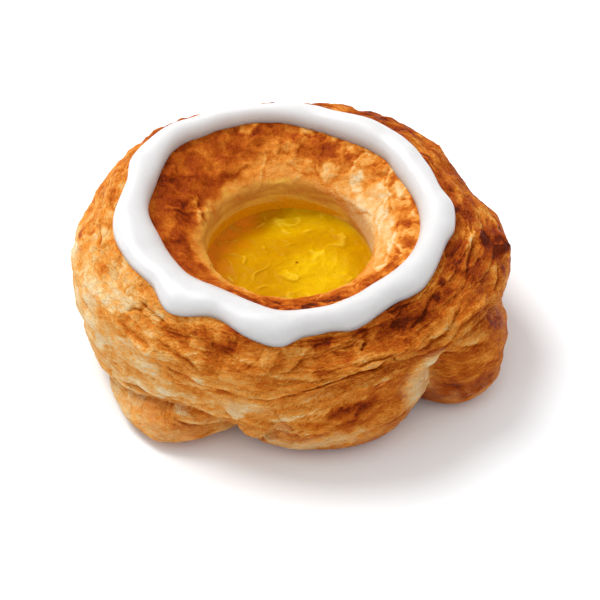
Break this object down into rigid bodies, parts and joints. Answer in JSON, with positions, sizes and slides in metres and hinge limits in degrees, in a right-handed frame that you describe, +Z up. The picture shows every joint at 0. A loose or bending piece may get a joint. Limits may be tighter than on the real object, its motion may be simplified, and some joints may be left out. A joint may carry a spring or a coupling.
{
  "type": "custard danish pastry",
  "caption": "Round laminated Danish pastry with folded foot lobes, a funnel-shaped well holding yellow custard, and a white icing bead piped round the rim.",
  "frame": {"origin": "middle of the pastry's bounding box, at the level of the surface it rests on", "axes": "+Z up; +X to the right and -Y towards the viewer as the pastry is seen in its picture; the widest way across is along X"},
  "size_m": [0.1068, 0.0999, 0.0371],
  "materials": {
    "crust": "baked dough, egg-washed, satin on the brown parts",
    "custard": "set custard, half gloss",
    "icing": "set sugar icing, smooth satin"
  },
  "bodies": {
    "root": {"pastry": "crust", "custard": "custard", "icing": "icing"}
  },
  "joints": []
}
